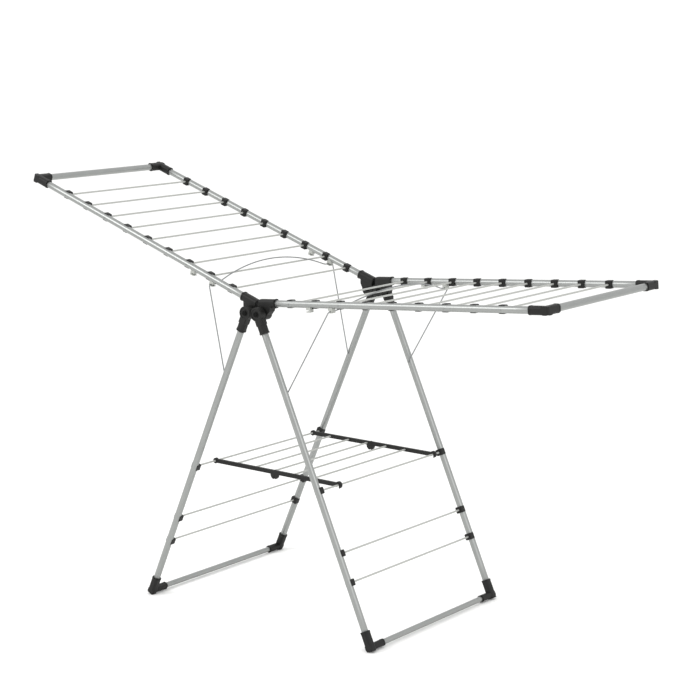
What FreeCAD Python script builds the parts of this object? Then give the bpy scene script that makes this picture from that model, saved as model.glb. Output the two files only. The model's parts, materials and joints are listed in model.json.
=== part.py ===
import FreeCAD, Part
import math
import os

# A folding clothes airer: two leg frames, two wings, two wire stays and a hinged shelf.
# Millimetres. X to the right wing, Y to the rear, Z up, origin on the floor under the hub.

# driving dimensions
TUBE_D = 20.0
TUBE_WALL = 1.2
PIVOT_X = 21.0          # half distance between the two pivots of one hub
LEG_ANGLE = 23.94       # each leg frame from the vertical
LEG_LENGTH = 993.4      # pivot to foot tube axis, along the leg
LEG_Y = 302.0           # half width of a leg frame, between tube axes
FOOT_TUBE_D = 16.0
FOOT_Z = FOOT_TUBE_D / 2 + 5
WING_TILT_R = 4.4
WING_TILT_L = 19.0
WING_OFFSET = 28.0      # wing tube axis above its pivot
WING_LENGTH = 956.5     # pivot to end tube axis, along the wing
WING_Y = LEG_Y - TUBE_D - 6    # the wing frame fits inside the leg frame
ROD_D = 5.4
ROD_PITCH = 90.0
FIRST_ROD = 100.0
END_GAP = 136.5         # least space between the last rod and the end tube axis
WING_RODS = int((WING_LENGTH - END_GAP - FIRST_ROD) / ROD_PITCH + 0.001) + 1
LEG_ROD_AT = [534.1, 720.0, 806.0]
STAY_D = 3.6
STAY_AT = 240.0         # stay pivot along the leg
STAY_Y = LEG_Y - TUBE_D / 2 - 3
CATCH_AT = 171.39       # inner catch along the wing; the stay is as long as it needs
STAY_BOW = 47.0         # rise of the stay's bowed crossbar
STAY_DROP = TUBE_D / 2 + 7.6  # caught wire below the wing tube axis
STAY_FLAT = STAY_Y - 27       # half length of the bowed part of the crossbar
SHELF_REAR = LEG_Y - 44      # the shelf sits a little to the rear on its two leg rods
SHELF_FRONT = 95 - LEG_Y
SHELF_ROD_AT = [74.0, 148.0, 222.0, 296.0, 370.0]
ELBOW = TUBE_D + 4
FOOT_ARM = FOOT_TUBE_D + 3.6  # elbow round the thinner foot tube
RUN = 0.05              # radial clearance of everything that turns
SEAT = 0.12             # radial clearance of a stay in its catch

PIVOT_Z = FOOT_Z + LEG_LENGTH * math.cos(math.radians(LEG_ANGLE))
TR = TUBE_D / 2
SHELL = TR + 2.6        # half width of a moulding round a tube
PIN_IN = TR + 3         # reach of a hub pin past the tube axes
ROD_IN = TR + 2         # a hanging rod starts this far inside the tube axis
CLIP = TR + 1.8         # half height of a rod clip
RR = ROD_D / 2
SR = STAY_D / 2
LEG_TURN = 90.0 - LEG_ANGLE
V = FreeCAD.Vector
os.makedirs("parts", exist_ok=True)


def rod(start, end, radius):
    a = V(*start)
    d = V(*end) - a
    return Part.makeCylinder(radius, d.Length, a, d)


def box(x0, x1, y0, y1, z0, z1):
    return Part.makeBox(x1 - x0, y1 - y0, z1 - z0, V(x0, y0, z0))


def tube(start, end, radius):
    return rod(start, end, radius).cut(rod(start, end, radius - TUBE_WALL))


def rounded_bar(axis, start, end, size, radius):
    h = size / 2
    bar = box(start, end, -h, h, -h, h)
    if axis == "y":
        bar = box(-h, h, start, end, -h, h)
    direction = V(1, 0, 0) if axis == "x" else V(0, 1, 0)
    edges = [e for e in bar.Edges if abs(e.tangentAt(e.FirstParameter).dot(direction)) > 0.99]
    return bar.makeFillet(radius, edges)


def moved(shape, x, y, z):
    copy = shape.copy()
    copy.translate(V(x, y, z))
    return copy


def placed(shape, turn, side):
    # a shape drawn about its pivot goes to its place on the right, or mirrored to the left
    copy = shape.copy()
    copy.rotate(V(0, 0, 0), V(0, 1, 0), turn)
    copy.translate(V(PIVOT_X, 0, PIVOT_Z))
    return copy if side > 0 else copy.mirror(V(0, 0, 0), V(1, 0, 0))


def flipped(shape):
    return shape.mirror(V(0, 0, 0), V(0, 1, 0))


def grouped(shapes):
    return shapes[0] if len(shapes) == 1 else Part.makeCompound(shapes)


def save(name, shape):
    shape.exportStep("parts/" + name + ".step")


def lip(axis, end, size, radius, bevel):
    # the raised edge round the mouth of a socket, 5 mm wide and ending at the mouth
    start = end - math.copysign(5, end)
    ring = rounded_bar(axis, min(start, end), max(start, end), size, radius)
    direction = V(1, 0, 0) if axis == "x" else V(0, 1, 0)
    rims = [e for e in ring.Edges if abs(e.tangentAt(e.FirstParameter).dot(direction)) < 0.01]
    return ring.makeChamfer(bevel, rims)


def elbow(arm_x, arm_y, size_y, radius_y):
    # arms along -X and +Y from the corner, outer corner rounded, a lip round each mouth
    h = ELBOW / 2
    body = rounded_bar("x", -arm_x, h, ELBOW, ELBOW / 3)
    body = body.fuse(rounded_bar("y", -h, arm_y, size_y, size_y / 3))
    body = body.fuse(lip("x", -arm_x, ELBOW + 1.2, ELBOW / 3 + 0.6, 0.4))
    body = body.fuse(lip("y", arm_y, size_y + 1.2, size_y / 3 + 0.6, 0.4))
    corner = box(h - 7, h + 1, -h - 1, -h + 7, -h - 1, h + 1)
    body = body.cut(corner.cut(rod((h - 7, -h + 7, -h - 2), (h - 7, -h + 7, h + 2), 7)))
    body = body.cut(rod((-arm_x - 1, 0, 0), (-h, 0, 0), TR + RUN))
    body = body.cut(rod((0, h, 0), (0, arm_y + 1, 0), radius_y + RUN))
    return body.removeSplitter()


def clip(riveted):
    # sits on the inner side of a tube along X, wraps its top and bottom and holds a rod along +Y
    end = TR + 5.5
    body = box(-10, 10, -2, end, -CLIP, CLIP)
    edges = [e for e in body.Edges if e.BoundBox.YMin > end - 0.1 or e.BoundBox.YLength > end + 1.9]
    body = body.makeFillet(3.0, edges)
    body = body.cut(rod((-12, 0, 0), (12, 0, 0), TR + RUN))
    body = body.cut(rod((0, ROD_IN, 0), (0, end + 1, 0), RR))
    if riveted:
        body = body.cut(rod((0, TR - 1, 0), (0, TR + 1.5, 0), 1.6))
    return body


def rivet():
    head = Part.makeCylinder(3.0, 1.1, V(0, -TR - 1.1, 0), V(0, 1, 0))
    head = head.makeFillet(0.7, [e for e in head.Edges if e.BoundBox.YMax < -TR - 1])
    return head.fuse(rod((0, -TR, 0), (0, TR + 1.5, 0), 1.6))


def catch():
    # hook under the tube, open toward the hub, that holds the stay's crossbar
    body = box(-8, 7, -6.5, 8, -STAY_DROP - 5, 2)
    body = body.makeFillet(1.5, [e for e in body.Edges if e.BoundBox.YLength > 14])
    body = body.cut(rod((-12, 0, 0), (12, 0, 0), TR + RUN))
    body = body.cut(rod((0, -12, -STAY_DROP), (0, 12, -STAY_DROP), SR + SEAT))
    body = body.cut(box(-12, 0, -12, 12, -STAY_DROP - SR - SEAT, -STAY_DROP + SR + SEAT))
    return body


def leg_head():
    # eye round the pivot with a socket for the leg tube; front one, drawn about the pivot
    y0 = -LEG_Y - SHELL
    y1 = -LEG_Y + TR + 0.2
    eye = rod((0, y0, 0), (0, y1, 0), 20)
    eye = eye.makeFillet(2.0, [e for e in eye.Edges if e.BoundBox.YMax < y0 + 0.1])
    dish = rod((0, y0 - 1, 0), (0, y0 + 1.2, 0), 15.5).cut(rod((0, y0 - 1, 0), (0, y0 + 1.2, 0), 9.5))
    neck = box(0, 34, y0, y1, -SHELL, SHELL)
    front = [e for e in neck.Edges if e.BoundBox.XLength > 30 and e.BoundBox.YMax < y0 + 0.1]
    neck = neck.makeFillet(4.0, front)
    socket = moved(rounded_bar("x", 22, 60, 2 * SHELL, 9), 0, -LEG_Y, 0)
    mouth = moved(lip("x", 60, 2 * SHELL + 1.8, 9.8, 0.6), 0, -LEG_Y, 0)
    body = eye.fuse(neck).fuse(socket).fuse(mouth).cut(dish)
    body = body.cut(rod((24, -LEG_Y, 0), (70, -LEG_Y, 0), TR + RUN))
    body = body.cut(rod((0, y0 - 1, 0), (0, y1 + 1, 0), 4 + RUN))
    return body.removeSplitter()


def wing_head():
    # eye round the pivot, a gusset and a socket for the wing's side tube
    y0 = -WING_Y - SHELL
    y1 = -WING_Y + SHELL
    eye = rod((0, y0, 0), (0, y1, 0), 20)
    outline = [(-12, 0), (-10, WING_OFFSET), (0, WING_OFFSET), (36, WING_OFFSET), (36, WING_OFFSET - 8)]
    outline += [(31, 6), (19, -6), (0, -8)]
    points = [V(x, y0, z) for x, z in outline]
    gusset = Part.Face(Part.makePolygon(points + points[:1])).extrude(V(0, y1 - y0, 0))
    rims = [e for e in gusset.Edges if e.BoundBox.YMin > y1 - 0.1 or e.BoundBox.YMax < y0 + 0.1]
    gusset = gusset.makeFillet(1.5, rims)
    socket = moved(rounded_bar("x", -10, 49, 2 * SHELL, 9), 0, -WING_Y, WING_OFFSET)
    socket = socket.makeFillet(3.0, [e for e in socket.Edges if e.BoundBox.XMax < -9.9])
    mouth = moved(lip("x", 49, 2 * SHELL + 1.8, 9.8, 0.6), 0, -WING_Y, WING_OFFSET)
    body = eye.fuse(gusset).fuse(socket).fuse(mouth)
    body = body.cut(rod((0, -WING_Y, WING_OFFSET), (60, -WING_Y, WING_OFFSET), TR + RUN))
    body = body.cut(rod((0, y0 - 1, 0), (0, y1 + 1, 0), 4 + RUN))
    return body.removeSplitter()


def stay():
    # one bent wire in the plane of X (along its arms) and Y
    y = STAY_Y
    n = STAY_LENGTH
    flat = STAY_FLAT
    r0 = 3.0
    r1 = 6.0
    c = math.sqrt(0.5)
    r2 = 60.0
    far = (flat * flat + STAY_BOW * STAY_BOW) / (2 * STAY_BOW)
    jx = n + STAY_BOW - far + r2 + (far - r2) * (far - STAY_BOW) / far
    jy = (far - r2) * flat / far
    half = math.atan2(flat, far - STAY_BOW) / 2
    mx = n + r2 - r2 * math.cos(half)
    my = flat - r2 * math.sin(half)
    bow = Part.Arc(V(jx, jy, 0), V(n + STAY_BOW, 0, 0), V(jx, -jy, 0)).toShape()

    def end(s):
        points = [(0, y + 14), (0, y + r0), (r0 - r0 * c, y + r0 - r0 * c), (r0, y), (n - r1, y)]
        points += [(n - r1 + r1 * c, y - r1 + r1 * c), (n, y - r1), (n, flat), (mx, my), (jx, jy)]
        p = [V(px, s * py, 0) for px, py in points]
        heel = Part.Arc(p[1], p[2], p[3]).toShape()
        bend = Part.Arc(p[4], p[5], p[6]).toShape()
        sweep = Part.Arc(p[7], p[8], p[9]).toShape()
        straight = [Part.makeLine(p[i], p[j]) for i, j in ((0, 1), (3, 4), (6, 7))]
        return straight + [heel, bend, sweep]

    path = Part.Wire(Part.__sortEdges__(end(1) + [bow] + end(-1)))
    ring = Part.Wire([Part.makeCircle(SR, V(0, y + 14, 0), V(0, 1, 0))])
    return path.makePipeShell([ring], True, False)


def shelf_bar():
    # from the eye on one leg rod at X = 0 to the hook on the other; drawn about Y = 0
    span = 2 * leg_rod_x(0)
    middle = SHELF_ROD_AT[2] + 12
    bore = RR + RUN
    bar = box(0, span, -4, 4, -6, 6)
    bar = bar.fuse(rod((0, -4, 0), (0, 4, 0), 8.5)).fuse(rod((span, -4, 0), (span, 4, 0), 10.5))
    bar = bar.fuse(rod((middle, -4, -7), (middle, 4, -7), 14))
    bar = bar.removeSplitter()
    # the rod leaves down and inward as the legs close, so the hook is open on that side
    edge = -0.848 * bore
    top = 0.53 * bore
    outline = [(0, 0), (edge, top), (edge - 0.625 * (20 + top), -20), (bore, -20), (bore, 0)]
    wedge = [V(x, -5, z) for x, z in outline]
    wedge = Part.Face(Part.makePolygon(wedge + wedge[:1])).extrude(V(0, 10, 0))
    bar = bar.cut(moved(wedge, span, 0, 0))
    bar = bar.cut(rod((span, -5, 0), (span, 5, 0), bore)).cut(rod((0, -5, 0), (0, 5, 0), bore))
    slot = rod((0, -5, -13), (0, 5, -13), RR + 0.2)
    slot = slot.fuse(box(-RR - 0.2, RR + 0.2, -5, 5, -26, -13))
    bar = bar.cut(moved(slot, middle, 0, 0))
    for x in SHELF_ROD_AT:
        bar = bar.cut(rod((x, -4, 0), (x, 1, 0), RR))
    return bar


def leg_rod_x(index):
    a = math.radians(LEG_ANGLE)
    return PIVOT_X + LEG_ROD_AT[index] * math.sin(a)


def stay_reach(at, tilt):
    # from the stay's pivot on the leg to its wire caught this far along the wing
    a = math.radians(LEG_ANGLE)
    t = math.radians(tilt)
    up = WING_OFFSET - STAY_DROP
    x = at * math.cos(t) - up * math.sin(t) - STAY_AT * math.sin(a)
    z = at * math.sin(t) + up * math.cos(t) + STAY_AT * math.cos(a)
    return x, z


def stay_angle(tilt):
    # direction of the stay from the vertical, and where its wire meets the wing, found by bisection
    low, high = 60.0, 400.0
    for _ in range(60):
        at = (low + high) / 2
        x, z = stay_reach(at, tilt)
        if math.hypot(x, z) < STAY_LENGTH:
            low = at
        else:
            high = at
    return math.degrees(math.atan2(x, z)), at


STAY_LENGTH = math.hypot(*stay_reach(CATCH_AT, WING_TILT_L))

# leg frames
head = leg_head()
foot = elbow(47, 56, FOOT_ARM, FOOT_TUBE_D / 2)
leg_tube = tube((24, -LEG_Y, 0), (LEG_LENGTH - ELBOW / 2, -LEG_Y, 0), TR)
stay_hole = rod((STAY_AT, -LEG_Y, 0), (STAY_AT, -LEG_Y + TR + 1, 0), SR + RUN)
leg_tube = leg_tube.cut(stay_hole)
foot_in = LEG_Y - ELBOW / 2
foot_tube = tube((LEG_LENGTH, -foot_in, 0), (LEG_LENGTH, foot_in, 0), FOOT_TUBE_D / 2)
leg_clips = grouped([moved(clip(False), u, -LEG_Y, 0) for u in LEG_ROD_AT])
leg_rods = [rod((u, -LEG_Y + ROD_IN, 0), (u, LEG_Y - ROD_IN, 0), RR) for u in LEG_ROD_AT]
foot = moved(foot, LEG_LENGTH, -LEG_Y, 0)
floor = box(-900, 900, -500, 500, -60, 0)
for side, word in ((-1, "left"), (1, "right")):
    for shape, name in ((leg_tube, "leg_tube"), (head, "leg_head"), (leg_clips, "leg_clips")):
        save(word + "_" + name + "_front", placed(shape, LEG_TURN, side))
        save(word + "_" + name + "_rear", placed(flipped(shape), LEG_TURN, side))
    save(word + "_foot_elbow_front", placed(foot, LEG_TURN, side).cut(floor))
    save(word + "_foot_elbow_rear", placed(flipped(foot), LEG_TURN, side).cut(floor))
    save(word + "_foot_tube", placed(foot_tube, LEG_TURN, side))
    save(word + "_leg_rods", placed(grouped(leg_rods), LEG_TURN, side))

# wings and their stays
rod_at = [FIRST_ROD + ROD_PITCH * i for i in range(WING_RODS)]
rivet_at = [rod_at[i] for i in (0, 2, WING_RODS - 3, WING_RODS - 1)]
side_tube = tube((0, -WING_Y, WING_OFFSET), (WING_LENGTH - ELBOW / 2, -WING_Y, WING_OFFSET), TR)
for x in rivet_at:
    hole = rod((x, -WING_Y - TR - 2, WING_OFFSET), (x, -WING_Y + TR + 2, WING_OFFSET), 1.6)
    side_tube = side_tube.cut(hole)
end_in = WING_Y - ELBOW / 2
end_tube = tube((WING_LENGTH, -end_in, WING_OFFSET), (WING_LENGTH, end_in, WING_OFFSET), TR)
corner = moved(elbow(50, 48, ELBOW, TR), WING_LENGTH, -WING_Y, WING_OFFSET)
wing_clips = grouped([moved(clip(x in rivet_at), x, -WING_Y, WING_OFFSET) for x in rod_at])
rivets = [moved(rivet(), x, -WING_Y, WING_OFFSET) for x in rivet_at]
rivets = grouped(rivets + [flipped(r) for r in rivets])
rod_end = WING_Y - ROD_IN
wing_rods = grouped([rod((x, -rod_end, WING_OFFSET), (x, rod_end, WING_OFFSET), RR) for x in rod_at])
socket = wing_head()
wire = stay()
catch_at = [stay_angle(WING_TILT_L)[1], stay_angle(WING_TILT_R)[1]]
catches = grouped([moved(catch(), x, -WING_Y, WING_OFFSET) for x in catch_at])
for side, word, tilt in ((-1, "left", WING_TILT_L), (1, "right", WING_TILT_R)):
    lean, at = stay_angle(tilt)
    pieces = ((side_tube, "side_tube"), (corner, "corner"), (socket, "wing_head"))
    for shape, name in pieces + ((wing_clips, "wing_clips"), (catches, "catches")):
        save(word + "_" + name + "_front", placed(shape, -tilt, side))
        save(word + "_" + name + "_rear", placed(flipped(shape), -tilt, side))
    save(word + "_end_tube", placed(end_tube, -tilt, side))
    save(word + "_wing_rods", placed(wing_rods, -tilt, side))
    save(word + "_rivets", placed(rivets, -tilt, side))
    # the stay's arms point along X here; turned so that X leans out from the vertical by its angle
    bent = wire.copy()
    bent.rotate(V(0, 0, 0), V(0, 1, 0), lean - 90)
    a = math.radians(LEG_ANGLE)
    sx = STAY_AT * math.sin(a)
    sz = -STAY_AT * math.cos(a)
    bent.translate(V(sx, 0, sz))
    save(word + "_stay", placed(bent, 0, side))
    print(word, "stay leans", round(lean, 3), "and meets the wing at", round(at, 2))

# hub: a link plate and two pins, front and rear
plate_out = -LEG_Y + TR + 0.6
plate = box(-PIVOT_X, PIVOT_X, plate_out, plate_out + 2.4, -15, 15)
pins = []
for x in (-PIVOT_X, PIVOT_X):
    plate = plate.fuse(rod((x, plate_out, 0), (x, plate_out + 2.4, 0), 15))
plate = plate.removeSplitter()
for x in (-PIVOT_X, PIVOT_X):
    plate = plate.cut(rod((x, -LEG_Y, 0), (x, -LEG_Y + 20, 0), 4))
    pin = rod((x, -LEG_Y - PIN_IN, 0), (x, -WING_Y + PIN_IN, 0), 4)
    cap = rod((x, -LEG_Y - PIN_IN - 2.4, 0), (x, -LEG_Y - PIN_IN, 0), 7.5)
    cap = cap.makeFillet(1.6, [e for e in cap.Edges if e.BoundBox.YMax < -LEG_Y - PIN_IN - 2.3])
    pin = pin.fuse(cap).fuse(rod((x, -WING_Y + PIN_IN, 0), (x, -WING_Y + PIN_IN + 2, 0), 6.5))
    pins.append(pin)
save("link_plate_front", moved(plate, 0, 0, PIVOT_Z))
save("link_plate_rear", moved(flipped(plate), 0, 0, PIVOT_Z))
save("hub_pins_front", moved(grouped(pins), 0, 0, PIVOT_Z))
save("hub_pins_rear", moved(flipped(grouped(pins)), 0, 0, PIVOT_Z))

# shelf
a = math.radians(LEG_ANGLE)
shelf_z = PIVOT_Z - LEG_ROD_AT[0] * math.cos(a)
rear_bar = shelf_bar()
save("shelf_bar_rear", moved(rear_bar, -leg_rod_x(0), SHELF_REAR, shelf_z))
save("shelf_bar_front", moved(flipped(rear_bar), -leg_rod_x(0), SHELF_FRONT, shelf_z))
shelf_rods = [rod((x, SHELF_FRONT - 1, 0), (x, SHELF_REAR + 1, 0), RR) for x in SHELF_ROD_AT]
save("shelf_rods", moved(grouped(shelf_rods), -leg_rod_x(0), 0, shelf_z))
print("pivots at z", round(PIVOT_Z, 3), "shelf at z", round(shelf_z, 3), "rod x", round(leg_rod_x(0), 3))
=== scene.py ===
import json
import math

import bpy
import numpy as np
from mathutils import Matrix, Vector


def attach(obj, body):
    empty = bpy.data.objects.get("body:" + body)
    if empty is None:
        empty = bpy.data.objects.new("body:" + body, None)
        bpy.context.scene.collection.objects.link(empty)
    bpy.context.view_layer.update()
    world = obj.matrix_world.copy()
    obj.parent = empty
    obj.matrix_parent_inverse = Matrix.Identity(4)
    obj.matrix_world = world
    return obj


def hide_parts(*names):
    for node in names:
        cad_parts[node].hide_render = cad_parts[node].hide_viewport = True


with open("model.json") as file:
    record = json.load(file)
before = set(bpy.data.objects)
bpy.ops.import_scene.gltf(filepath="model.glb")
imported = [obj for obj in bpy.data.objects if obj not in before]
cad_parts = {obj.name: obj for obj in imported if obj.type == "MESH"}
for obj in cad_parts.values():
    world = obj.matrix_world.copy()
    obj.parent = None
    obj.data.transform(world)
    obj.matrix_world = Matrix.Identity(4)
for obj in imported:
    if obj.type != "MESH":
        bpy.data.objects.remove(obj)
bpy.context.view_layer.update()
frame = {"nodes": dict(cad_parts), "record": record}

print("frame loaded:", len(frame["nodes"]), "nodes")


def srgb(code):
    # hex colour to linear light
    parts = [int(code[i:i + 2], 16) / 255 for i in (1, 3, 5)]
    return tuple(p / 12.92 if p <= 0.04045 else ((p + 0.055) / 1.055) ** 2.4 for p in parts) + (1.0,)


def addNode(tree, kind, settings=None, values=None, links=None):
    # one node, its settings, the values of its sockets, and what feeds it
    node = tree.nodes.new(kind)
    for key, value in (settings or {}).items():
        setattr(node, key, value)
    for key, value in (values or {}).items():
        node.inputs[key].default_value = value
    for key, source in (links or {}).items():
        tree.links.new(source, node.inputs[key])
    return node


def newMaterial(name, values):
    made = bpy.data.materials.new(name)
    made.use_nodes = True
    tree = made.node_tree
    shader = tree.nodes["Principled BSDF"]
    for key, value in values.items():
        shader.inputs[key].default_value = value
    return made, tree, shader


def perMetre(sizeInMm):
    # a pattern's scale from the real width of one of its marks
    return 1000.0 / sizeInMm


# sizes of a pattern are real ones, in millimetres; depths are in metres
anodised = {"lowColour": "#8E908F", "highColour": "#A6A8A6", "roughLow": 0.34, "roughHigh": 0.46,
            "dieLine": 0.9, "stretch": 0.012, "cloud": 45.0, "cloudShare": 0.45,
            "depth": 0.00002, "relief": 0.5}
mouldedBlack = {"lowColour": "#060605", "highColour": "#10100E", "roughLow": 0.48, "roughHigh": 0.62,
                "grain": 0.7, "flow": 18.0, "flowShare": 0.6, "depth": 0.00006, "relief": 0.6}
coatedWire = {"lowColour": "#9C9E9A", "highColour": "#B2B3AF", "roughLow": 0.30, "roughHigh": 0.42,
              "ripple": 5.0, "depth": 0.00004, "relief": 0.6}
drawnSteel = {"lowColour": "#77797A", "highColour": "#9A9C9D", "roughLow": 0.22, "roughHigh": 0.36,
              "streak": 2.0}
mouldedGrey = {"lowColour": "#9A9C98", "highColour": "#B1B3AE", "roughLow": 0.38, "roughHigh": 0.5,
               "grain": 0.8, "flow": 12.0, "flowShare": 0.6, "depth": 0.00005, "relief": 0.6}
blackenedSteel = {"lowColour": "#141414", "highColour": "#232323", "roughLow": 0.25, "roughHigh": 0.4,
                  "streak": 1.5}


def surfaceFrom(tree, shader, look, pattern, relief=None):
    # one pattern drives the tint and the gloss; a relief, where there is one, raises the surface
    tint = addNode(tree, "ShaderNodeMix", {"data_type": "RGBA"},
                   {6: srgb(look["lowColour"]), 7: srgb(look["highColour"])}, {0: pattern}).outputs[2]
    gloss = addNode(tree, "ShaderNodeMapRange", None,
                    {"To Min": look["roughLow"], "To Max": look["roughHigh"]}, {"Value": pattern}).outputs[0]
    tree.links.new(tint, shader.inputs["Base Color"])
    tree.links.new(gloss, shader.inputs["Roughness"])
    if relief is not None:
        raised = addNode(tree, "ShaderNodeBump", None,
                         {"Distance": look["depth"], "Strength": look["relief"]}, {"Height": relief})
        tree.links.new(raised.outputs["Normal"], shader.inputs["Normal"])


def makeAnodisedTube(look):
    # extruded aluminium, brushed by its die and satin anodised: long faint lines, a soft cloudy sheen
    made, tree, shader = newMaterial("anodised_aluminium_extruded", {"Metallic": 1.0, "Roughness": 0.33})
    along = addNode(tree, "ShaderNodeUVMap", {"uv_map": "alongTube"}).outputs[0]
    drawn = addNode(tree, "ShaderNodeMapping", None, {"Scale": (1.0, look["stretch"], 1.0)},
                    {"Vector": along}).outputs[0]
    lines = addNode(tree, "ShaderNodeTexNoise", None, {"Scale": perMetre(look["dieLine"]), "Detail": 4.0},
                    {"Vector": drawn}).outputs["Fac"]
    place = addNode(tree, "ShaderNodeTexCoord").outputs["Object"]
    clouds = addNode(tree, "ShaderNodeTexNoise", None, {"Scale": perMetre(look["cloud"]), "Detail": 2.0},
                     {"Vector": place}).outputs["Fac"]
    both = addNode(tree, "ShaderNodeMix", {"data_type": "FLOAT"}, {0: look["cloudShare"]},
                   {2: lines, 3: clouds}).outputs[0]
    surfaceFrom(tree, shader, look, both, lines)
    return made


def makeMoulded(name, look):
    # injection moulded plastic: fine spark-eroded grain over faint flow marks, a dull sheen
    made, tree, shader = newMaterial(name, {"Metallic": 0.0, "IOR": 1.49, "Specular IOR Level": 0.35})
    place = addNode(tree, "ShaderNodeTexCoord").outputs["Object"]
    grain = addNode(tree, "ShaderNodeTexNoise", None, {"Scale": perMetre(look["grain"]), "Detail": 2.0},
                    {"Vector": place}).outputs["Fac"]
    flow = addNode(tree, "ShaderNodeTexNoise", None, {"Scale": perMetre(look["flow"]), "Detail": 3.0},
                   {"Vector": place}).outputs["Fac"]
    both = addNode(tree, "ShaderNodeMix", {"data_type": "FLOAT"}, {0: look["flowShare"]},
                   {2: grain, 3: flow}).outputs[0]
    surfaceFrom(tree, shader, look, both, grain)
    return made


def makeCoatedWire(look):
    # steel rod dipped in grey polymer: smooth, slightly rippled, soft highlight
    made, tree, shader = newMaterial("polymer_coated_wire", {"Metallic": 0.0, "IOR": 1.5})
    place = addNode(tree, "ShaderNodeTexCoord").outputs["Object"]
    ripple = addNode(tree, "ShaderNodeTexNoise", None, {"Scale": perMetre(look["ripple"]), "Detail": 2.0},
                     {"Vector": place}).outputs["Fac"]
    surfaceFrom(tree, shader, look, ripple, ripple)
    return made


def makeSteel(name, look):
    # drawn through a die and oiled or blackened: metal with uneven gloss
    made, tree, shader = newMaterial(name, {"Metallic": 1.0})
    place = addNode(tree, "ShaderNodeTexCoord").outputs["Object"]
    streaks = addNode(tree, "ShaderNodeTexNoise", None, {"Scale": perMetre(look["streak"]), "Detail": 4.0},
                      {"Vector": place}).outputs["Fac"]
    surfaceFrom(tree, shader, look, streaks)
    return made


tubeFinish = makeAnodisedTube(anodised)
finishes = {"plastic": makeMoulded("polypropylene_moulded_black", mouldedBlack),
            "rod": makeCoatedWire(coatedWire),
            "wire": makeSteel("spring_steel_drawn", drawnSteel),
            "catch": makeMoulded("acetal_moulded_grey", mouldedGrey),
            "pin": makeSteel("steel_blackened", blackenedSteel),
            "tube": tubeFinish}
slotOf = {entry["node"]: entry["material_slot"] for entry in frame["record"]["subparts"]}
for name, node in frame["nodes"].items():
    node.data.materials.clear()
    node.data.materials.append(finishes[slotOf[name]])
print("finishes on the CAD nodes")


tubeLook = {"around": 56, "rings": 12, "rimMm": 0.4, "endRingMm": 3.0}


def endsOf(node):
    # the middles of the two end rings give the axis; the farthest point from it gives the radius
    mesh = frame["nodes"][node].data
    points = np.empty(len(mesh.vertices) * 3)
    mesh.vertices.foreach_get("co", points)
    points = np.unique(points.reshape(-1, 3).round(6), axis=0)
    rough = np.linalg.svd(points - points.mean(0), full_matrices=False)[2][0]
    reach = points @ rough
    deep = tubeLook["endRingMm"] / 1000
    start = points[reach < reach.min() + deep].mean(0)
    end = points[reach > reach.max() - deep].mean(0)
    axis = (end - start) / np.linalg.norm(end - start)
    across = points - start - ((points - start) @ axis)[:, None] * axis
    return start, end, np.linalg.norm(across, axis=1).max()


def lathed(name, start, end, stations, radii, around):
    # point(station, angle) = start + station * axis + radius(station) * (cos(angle) * side + sin(angle) * up)
    axis = (end - start) / np.linalg.norm(end - start)
    side = np.cross(axis, [0.0, 0.0, 1.0] if abs(axis[2]) < 0.9 else [0.0, 1.0, 0.0])
    side /= np.linalg.norm(side)
    up = np.cross(axis, side)
    angle = np.arange(around) * 2 * math.pi / around
    ring = np.cos(angle)[:, None] * side + np.sin(angle)[:, None] * up
    grid = start + stations[:, None, None] * axis + radii[:, None, None] * ring
    rings = len(stations)
    a = np.arange(rings - 1)[:, None] * around + np.arange(around)
    b = np.arange(rings - 1)[:, None] * around + (np.arange(around) + 1) % around
    quads = np.stack([a, b, b + around, a + around], -1).reshape(-1, 4)
    caps = [list(range(around))[::-1], list(range((rings - 1) * around, rings * around))]
    mesh = bpy.data.meshes.new(name)
    mesh.from_pydata(grid.reshape(-1, 3).tolist(), [], quads.tolist() + caps)
    mesh.polygons.foreach_set("use_smooth", [True] * len(quads) + [False] * 2)
    wide = np.stack([np.arange(around), np.arange(around) + 1], 1) * 2 * math.pi / around * radii.max()
    uv = np.zeros((rings - 1, around, 4, 2))
    uv[..., 0] = wide[:, [0, 1, 1, 0]]
    uv[..., 1] = np.stack([stations[:-1], stations[:-1], stations[1:], stations[1:]], 1)[:, None]
    layer = mesh.uv_layers.new(name="alongTube")
    layer.data.foreach_set("uv", np.concatenate([uv.reshape(-1), np.zeros(around * 4)]))
    piece = bpy.data.objects.new(name, mesh)
    bpy.context.collection.objects.link(piece)
    return piece


def makeTube(node, body):
    start, end, radius = endsOf(node)
    length = np.linalg.norm(end - start)
    rim = tubeLook["rimMm"] / 1000
    between = np.linspace(rim, length - rim, tubeLook["rings"])[1:-1]
    stations = np.concatenate([[0.0, rim], between, [length - rim, length]])
    radii = np.full(len(stations), radius)
    radii[[0, -1]] = radius - rim
    piece = lathed(node + "_drawn", start, end, stations, radii, tubeLook["around"])
    piece.data.materials.append(tubeFinish)
    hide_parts(node)
    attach(piece, body)
    return piece


for side in ("left", "right"):
    for node in ("leg_tube_front", "leg_tube_rear", "foot_tube"):
        makeTube(side + "_" + node, side + "_legs")
    for node in ("side_tube_front", "side_tube_rear", "end_tube"):
        makeTube(side + "_" + node, side + "_wing")
print("tubes drawn")


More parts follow.
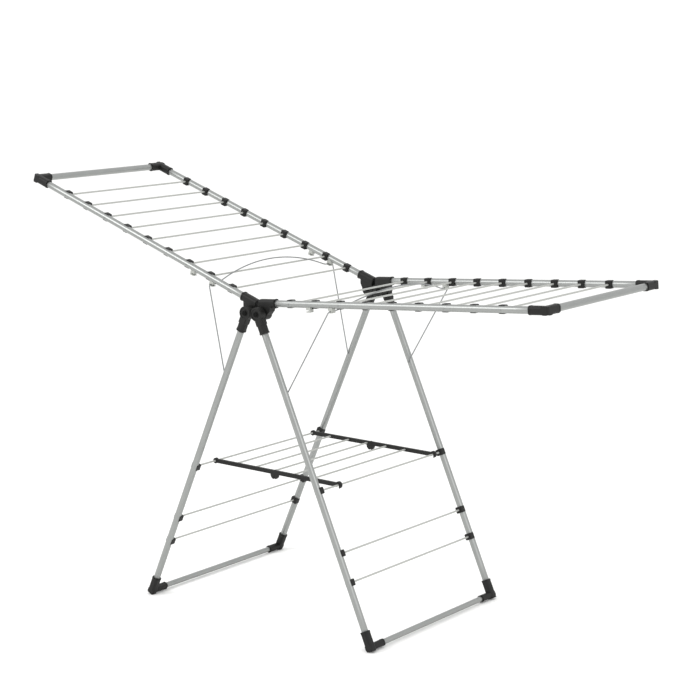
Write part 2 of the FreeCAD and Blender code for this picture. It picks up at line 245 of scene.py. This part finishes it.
# plain pale floor with soft studio light
studio = {"floor": "#FAFAF9", "floorSize": 400, "world": 1.12, "key": 70.0, "fill": 25.0}
bpy.ops.mesh.primitive_plane_add(size=studio["floorSize"], location=(0, 0, 0))
floor = bpy.context.object
floor.name = "studioFloor"
floorLook = newMaterial("floor_paper", {"Base Color": srgb(studio["floor"]), "Roughness": 0.9})[0]
floor.data.materials.append(floorLook)

world = bpy.data.worlds.new("studioWorld")
bpy.context.scene.world = world
world.use_nodes = True
world.node_tree.nodes["Background"].inputs["Color"].default_value = (1, 1, 1, 1)
world.node_tree.nodes["Background"].inputs["Strength"].default_value = studio["world"]


def areaLight(name, place, aim, size, power):
    lamp = bpy.data.lights.new(name, "AREA")
    lamp.shape = "RECTANGLE"
    lamp.size, lamp.size_y = size
    lamp.energy = power
    holder = bpy.data.objects.new(name, lamp)
    bpy.context.collection.objects.link(holder)
    holder.location = place
    holder.rotation_euler = (Vector(aim) - Vector(place)).to_track_quat("-Z", "Y").to_euler()


areaLight("keySoftbox", (-2.2, -3.4, 3.6), (0, 0, 0.8), (2.2, 1.6), studio["key"])
areaLight("fillSoftbox", (3.6, -1.2, 2.2), (0, 0, 0.8), (1.6, 2.0), studio["fill"])


camera = {"azimuth": 39.16, "elevation": 9.09, "distance": 5.56, "lens": 95.4, "target": (0.0, 0.0, 0.9145),
          "shiftX": 0.0442, "shiftY": -0.0680, "roll": -0.35}
azimuth, elevation = math.radians(camera["azimuth"]), math.radians(camera["elevation"])
level = math.cos(elevation)
back = Vector((math.sin(azimuth) * level, -math.cos(azimuth) * level, math.sin(elevation)))
eye = bpy.data.cameras.new("camera")
eye.lens = camera["lens"]
eye.sensor_width = 36
eye.shift_x, eye.shift_y = camera["shiftX"], camera["shiftY"]
stand = bpy.data.objects.new("camera", eye)
bpy.context.collection.objects.link(stand)
stand.location = Vector(camera["target"]) + back * camera["distance"]
turn = back.to_track_quat("Z", "Y").to_matrix() @ Matrix.Rotation(math.radians(camera["roll"]), 3, "Z")
stand.rotation_euler = turn.to_euler()
bpy.context.scene.camera = stand
bpy.context.scene.view_settings.view_transform = "Standard"
print("studio and camera set")
